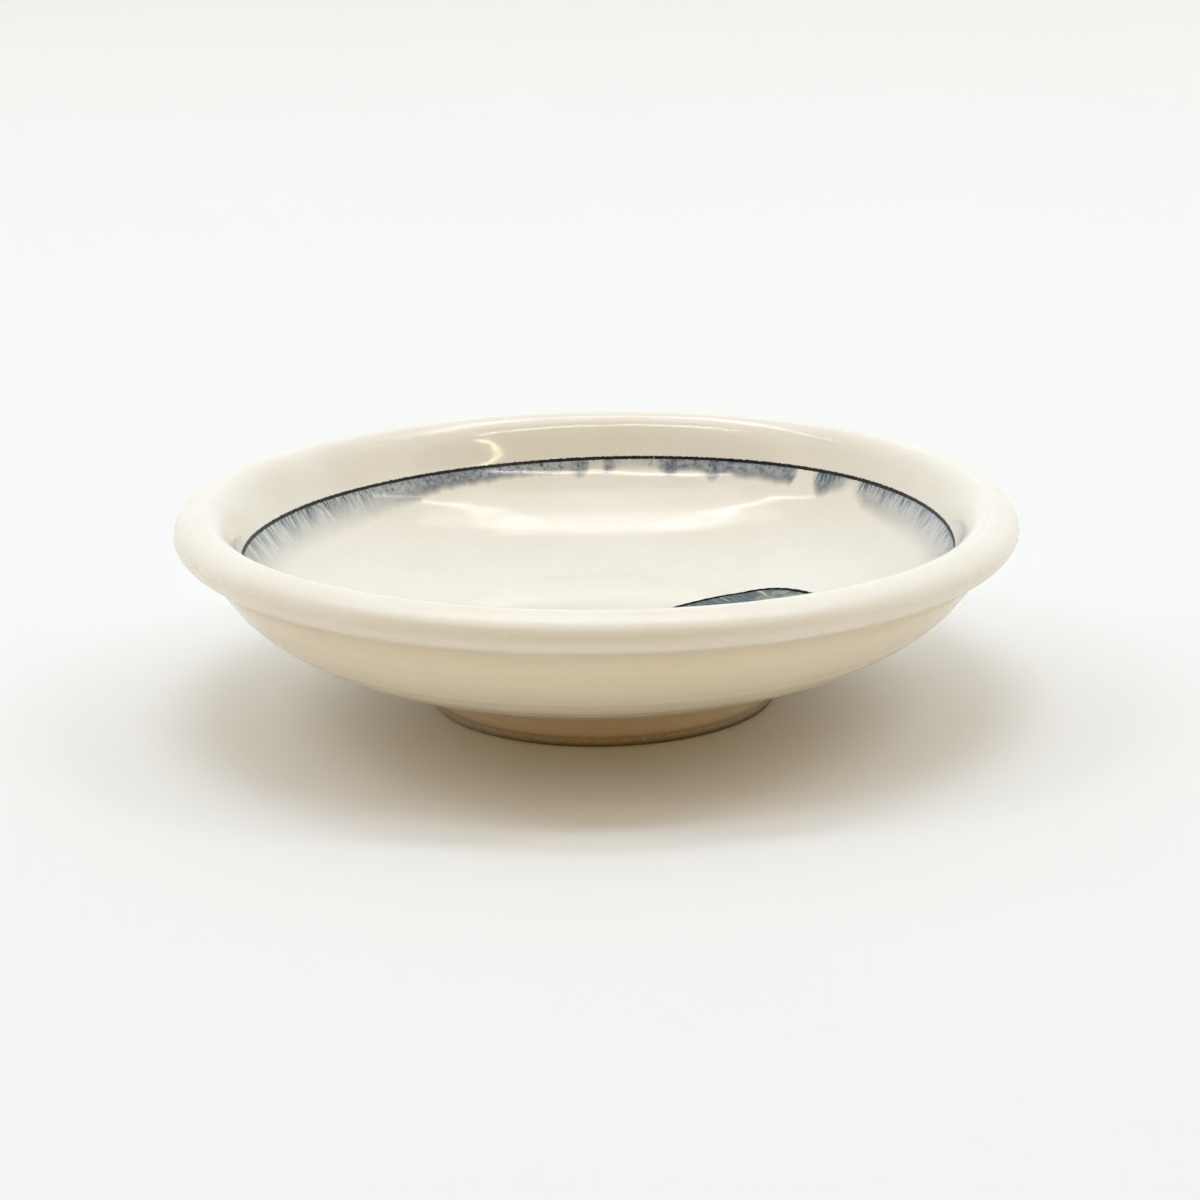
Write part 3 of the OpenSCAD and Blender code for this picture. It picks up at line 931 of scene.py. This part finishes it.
def leaf_wash(name, side, material):
    """The washes on one side of the leaves' midribs, as thin skins on the glaze."""
    points, normals, faces = [], [], []
    for leaf in LEAVES:
        t = np.linspace(*WASH_ENDS, WASH_ROWS)[:, None]
        half = leaf_half(leaf, t)
        rib = np.minimum(RIB_HALF, half / 2)
        out = rib + (half - rib) * np.linspace(0, 1, WASH_COLUMNS)[None, :]
        y = out if side > 0 else -out[:, ::-1]
        arcs, turns = well_place(*leaf_plan(leaf, t, y))
        up = surface_normal(arcs, turns)
        top, low = surface(arcs, turns, WASH_LIFT), surface(arcs, turns, -SUNK)
        faces += grid_shell(WASH_ROWS, WASH_COLUMNS, sum(len(p) for p in points))
        points += [top.reshape(-1, 3), low.reshape(-1, 3)]
        normals += [up.reshape(-1, 3), -up.reshape(-1, 3)]
    return make_object(name, np.concatenate(points), faces, material, np.concatenate(normals))


def clear_runs(keep):
    """The stretches of a path whose points are all kept, apart from the shortest."""
    ends = np.flatnonzero(np.diff(np.concatenate([[0], keep.astype(int), [0]])))
    return [slice(i, j) for i, j in zip(ends[::2], ends[1::2]) if j - i >= SHORTEST_RUN]


def outline_strokes():
    """Both sides of each leaf, drawn with a brush that swells and thins."""
    rng = np.random.default_rng(LEAF_SEED)
    t = np.linspace(0, 1, OUTLINE_POINTS)
    taper = np.minimum(1, 5 * np.minimum(t, 1 - t) + 0.4)
    strokes = []
    for leaf in LEAVES:
        for side in (1, -1):
            beads = 0.95 + 0.13 * np.sin(np.cumsum(rng.uniform(0.2, 1.4, OUTLINE_POINTS)))
            x, y = leaf_plan(leaf, t, side * leaf_half(leaf, t))
            strokes.append((*well_place(x, y), OUTLINE_HALF * taper * beads))
    return strokes


def stem_strokes():
    """The stem, where no leaf covers it. It thins towards the end of each stretch."""
    strokes = []
    stem = cubic(*[(FLOOR_R * px, FLOOR_R * py) for px, py in STEM], steps=STEM_POINTS)
    keep = np.ones(len(stem), bool)
    for leaf in LEAVES:
        keep &= ~in_leaf(stem[:, 0], stem[:, 1], leaf)
    for run in clear_runs(keep):
        n = run.stop - run.start
        halves = STEM_HALF * (1 - 0.35 * np.linspace(0, 1, n))
        strokes.append((*well_place(stem[run, 0], stem[run, 1]), halves))
    return strokes


def leaf_lines(material):
    return ribbons("leaf_lines", outline_strokes() + stem_strokes(), material, OUTLINE_LIFT)


# The hidden clay's section starts this far up the wall, and has a point at every step
CLAY_START = 0.6
CLAY_STEP = 1.2
# The foot's section, which has two fine grooves in the face that it rests on
FOOT_SECTION = [
    (RECESS_ROOT_R, JOINT_Z), (RECESS_EDGE_R, BEVEL), (18.06, 0.22), (18.2, 0.08), (REST_IN, 0),
    (19.0, 0), (19.1, 0.05), (19.2, 0), (20.0, 0), (20.08, 0.04), (20.16, 0), (REST_OUT, 0), (21.1, 0),
    (21.24, 0.04), (21.34, 0.16), (21.38, 0.4), (21.38, 0.8), (21.2, 1.15), (21.3, JOINT_Z)
]
# The rounded lower edge of the glaze in the recess, and its rise to the recess's ceiling
RECESS_CORNER = [
    (17.86, 1.0), (17.6, 0.98), (17.42, 1.15), (17.25, 1.8), (16.95, 2.9), (16.72, 3.6), (16.4, 3.9)
]
# Turning rings in the recess: their depth and pitch
RECESS_RINGS = [(0.05, 2.7), (0.02, 1.1)]
RECESS_POINTS = 60


def thrown_clay(material):
    """The clay under the glaze, from the joint with the foot up over the rim to the floor."""
    places = np.arange(WALL_S + CLAY_START, END_S, CLAY_STEP)
    under = [(along(PATH[:, i], places) - GLAZE_T * along(NORMAL[:, i], places)) for i in (0, 1)]
    section = [(0, JOINT_Z), (FOOT_R, JOINT_Z)] + list(zip(*under)) + [(0, FLOOR_Z - GLAZE_T)]
    return turned("thrown_clay", section, material, False)


def bare_foot(material):
    """The foot turned from the base, with the bare face that the dish rests on."""
    return turned("bare_foot", FOOT_SECTION, material, True, COLUMNS)


def recess_glaze(material):
    """The glaze in the recess of the foot, with the rings left by turning the base."""
    inner = RECESS_ROOT_R - GLAZE_T
    top = JOINT_Z - GLAZE_T
    r = np.linspace(inner - 0.8, 0, RECESS_POINTS)
    fade = smoothstep(0, 3, r)
    ceiling = top - 0.05
    for depth, pitch in RECESS_RINGS:
        ceiling = ceiling - depth * np.cos(2 * np.pi * r / pitch) * fade
    section = [(0, JOINT_Z), (RECESS_ROOT_R, JOINT_Z)] + RECESS_CORNER + list(zip(r, ceiling))
    return turned("recess_glaze", section[::-1], material, False, COLUMNS)


# Pieces
def belongs(piece, slot, *nodes):
    """Rides a piece on the dish's one body and hides the nodes that it stands for. Its slot is not used."""
    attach(piece, "root")
    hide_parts(*nodes)


inner = glaze_shell("inner_glaze_skin", row_places(4, 7), inner_glaze_material(), inner_values)
belongs(inner, "inner_glaze", "inner_glaze", "border_wash")
outer = glaze_shell("outer_glaze_skin", row_places(0, 4), outer_glaze_material(), outer_values)
belongs(outer, "outer_glaze", "outer_glaze")
belongs(painted_line(iron_material()), "band_line", "band_line")
hair_paint = brush_material("hair_paint", HAIRS)
belongs(brushed_hairs(hair_paint), "border_hairs", "border_hairs")
wash_paint = leaf_wash_material()
belongs(leaf_wash("leaf_shadow_wash", 1, wash_paint), "leaf_shadows", "leaf_shadows")
belongs(leaf_wash("leaf_light_wash", -1, wash_paint), "leaf_lights", "leaf_lights")
leaf_paint = brush_material("leaf_paint", LEAF_INK, 0.0)
belongs(leaf_lines(leaf_paint), "leaf_outlines", "leaf_outlines")
core_clay = clay_material("body_clay", CORE_CLAY, 0.02)
belongs(thrown_clay(core_clay), "clay_body", "clay_body")
foot_clay = clay_material("bare_clay", FOOT_CLAY, 0.04)
belongs(bare_foot(foot_clay), "foot_ring", "foot_ring")
belongs(recess_glaze(base_glaze_material()), "base_glaze", "base_glaze")

# Camera, floor and light. The camera's lengths are in millimetres, and its focal length in pixels of
# the photograph.
CAMERA_PITCH = math.radians(16.48)
CAMERA_ROLL = math.radians(-1.19)
CAMERA_TARGET = np.array([0.123, 0.0, 12.07])
CAMERA_DISTANCE = 450.0
FOCAL_PIXELS = 3614.0
FRAME_PIXELS = 1200.0
SENSOR = 36.0
FLOOR_HALF = 6000.0
BOARD_Y = -900.0
BOARD_HALF = 2200.0
BOARD_TOP = 1500.0
# The heights between which the board's stripe comes in and goes out
STRIPE_LOW = (140.0, 200.0)
STRIPE_HIGH = (600.0, 440.0)
MATT = 0.9
MATT_SPECULAR = 0.2
# The room is dim and warm at the front, and turns to an even white at the back, between these places
# on a unit sphere
FRONT_GLOW = (0.89, 0.635, 0.39, 1.0)
BACK_GLOW = (0.93, 0.955, 0.94, 1.0)
FRONT_END = -0.7
BACK_END = -0.05
MIRRORED_GLOW = (1.0, 1.0, 1.0, 1.0)
# The lamps are panels in the ceiling of a light tent, above the dish: centre in metres, length, depth,
# turn in degrees, and how bright they look. They light the dish, and do not show mirrored in it.
DAYLIGHT = (0.765, 0.87, 0.98)
LAMPS = [
    ("front_panel", (0.0, -0.12, 1.04), 0.50, 0.15, 0, 5.0),
    ("back_panel", (0.0, 0.22, 1.04), 0.50, 0.15, 0, 6.2),
    ("left_panel", (-0.85, 0.05, 1.04), 0.50, 0.15, 0, 8.2),
    ("right_panel", (0.85, 0.05, 1.04), 0.50, 0.15, 0, 8.2),
]
# Their covers and the tubes beside them show mirrored in the glaze only. Of two that overlap, the
# lower one hides the higher.
COVERS = [
    ("ceiling_cloth", (0.0, 0.08, 1.03), 1.20, 0.64, 0, 1.45),
    ("middle_cover", (0.0, 0.25, 1.02), 0.50, 0.20, 0, 1.5),
    ("back_cover", (0.01, 0.43, 1.015), 0.42, 0.17, 0, 2.6),
    ("right_wing", (0.27, 0.22, 1.01), 0.34, 0.18, -58, 2.3),
    ("right_wing_end", (0.41, 0.07, 1.005), 0.20, 0.10, -22, 3.0),
    ("right_tip", (0.60, 0.04, 1.0), 0.28, 0.03, 2, 9.0),
    ("right_far", (0.98, 0.07, 1.0), 0.44, 0.02, 27, 10.0),
    ("left_wing", (-0.27, 0.31, 1.01), 0.34, 0.16, 56, 2.6),
    ("left_wing_end", (-0.38, 0.19, 1.005), 0.15, 0.07, 38, 5.5),
    ("left_tip", (-0.60, 0.11, 1.0), 0.34, 0.028, 10, 10.0),
    ("left_far", (-0.83, 0.14, 1.0), 0.36, 0.02, -25, 14.0),
    ("front_tube_right", (0.31, -0.55, 1.0), 0.62, 0.02, 0, 30.0),
    ("front_tube_left", (-0.36, -0.465, 1.0), 0.74, 0.02, -14, 28.0),
]
# One more mirrored tube, warm and lower, at the front on the right
WARM_LAMP = ("warm_lamp", (0.56, -0.66, 0.72), 0.34, 0.035, -81, 18.0)
WARM_COLOR = (1.0, 0.93, 0.60)


def make_camera():
    """A camera at the photograph's angle, turned a little about its own axis."""
    forward = np.array([0, math.cos(CAMERA_PITCH), -math.sin(CAMERA_PITCH)])
    level = np.array([1.0, 0, 0])
    upright = np.cross(level, forward)
    across = math.cos(CAMERA_ROLL) * level + math.sin(CAMERA_ROLL) * upright
    up = -math.sin(CAMERA_ROLL) * level + math.cos(CAMERA_ROLL) * upright
    data = bpy.data.cameras.new("camera")
    data.sensor_width = SENSOR
    data.lens = FOCAL_PIXELS / FRAME_PIXELS * SENSOR
    data.clip_start = 0.01
    data.clip_end = 50
    camera = bpy.data.objects.new("camera", data)
    bpy.context.collection.objects.link(camera)
    matrix = Matrix(np.stack([across, up, -forward], axis=1).tolist()).to_4x4()
    matrix.translation = ((CAMERA_TARGET - forward * CAMERA_DISTANCE) * MM).tolist()
    camera.matrix_world = matrix
    bpy.context.scene.camera = camera


def stage_panel(name, corners, m, color):
    """A flat matt panel that isn't part of the dish."""
    material = m.finish(color, MATT, specular=MATT_SPECULAR)
    panel = make_object(name, np.array(corners, float), [(0, 1, 2, 3)], material)
    return panel


def make_floor():
    """A floor of white paper."""
    m = Shader("white_floor")
    paper = m.mix(m.noise(m.place(), 0.02, 3.0), *PAPER)
    corners = [(x * FLOOR_HALF, y * FLOOR_HALF, 0) for x, y in ((-1, -1), (1, -1), (1, 1), (-1, 1))]
    stage_panel("floor", corners, m, paper)


def make_board():
    """A dark brown board with an amber stripe, seen only where the glaze mirrors it."""
    m = Shader("brown_board")
    _, _, up = m.parts(m.place())
    stripe = m.times(m.step(up, *STRIPE_LOW), m.step(up, *STRIPE_HIGH))
    brown = m.mix(stripe, *BOARD)
    places = ((-1, 0), (1, 0), (1, BOARD_TOP), (-1, BOARD_TOP))
    corners = [(x * BOARD_HALF, BOARD_Y, z) for x, z in places]
    stage_panel("board", corners, m, brown).visible_camera = False


def make_lamp(name, centre, length, depth, turn, radiance):
    """A lamp that faces down and looks as bright as its radiance."""
    data = bpy.data.lights.new(name, "AREA")
    data.shape = "RECTANGLE"
    data.size, data.size_y = length, depth
    data.energy = math.pi * radiance * length * depth
    lamp = bpy.data.objects.new(name, data)
    bpy.context.collection.objects.link(lamp)
    lamp.location = centre
    lamp.rotation_euler = (0, 0, math.radians(turn))
    return lamp


def make_world():
    """A white room, dim and warm at the front, that looks even where it is mirrored in the glaze."""
    world = bpy.data.worlds.new("studio")
    bpy.context.scene.world = world
    world.use_nodes = True
    room = Nodes(world.node_tree)
    _, back, _ = room.parts(room.add("TexCoord").outputs["Generated"])
    spread = room.add("MapRange", back, FRONT_END, BACK_END).outputs["Result"]
    glow = room.mix(spread, FRONT_GLOW, BACK_GLOW)
    glow = room.mix(room.add("LightPath").outputs["Is Glossy Ray"], glow, MIRRORED_GLOW)
    room.feed(world.node_tree.nodes["Background"].inputs["Color"], glow)


make_camera()
make_floor()
make_board()
make_world()
for panel in LAMPS:
    lamp = make_lamp(*panel)
    lamp.data.color = DAYLIGHT
    lamp.visible_glossy = False
for cover in COVERS:
    make_lamp(*cover).visible_diffuse = False
warm_lamp = make_lamp(*WARM_LAMP)
warm_lamp.data.color = WARM_COLOR
warm_lamp.visible_diffuse = False
bpy.context.scene.view_settings.view_transform = "Standard"
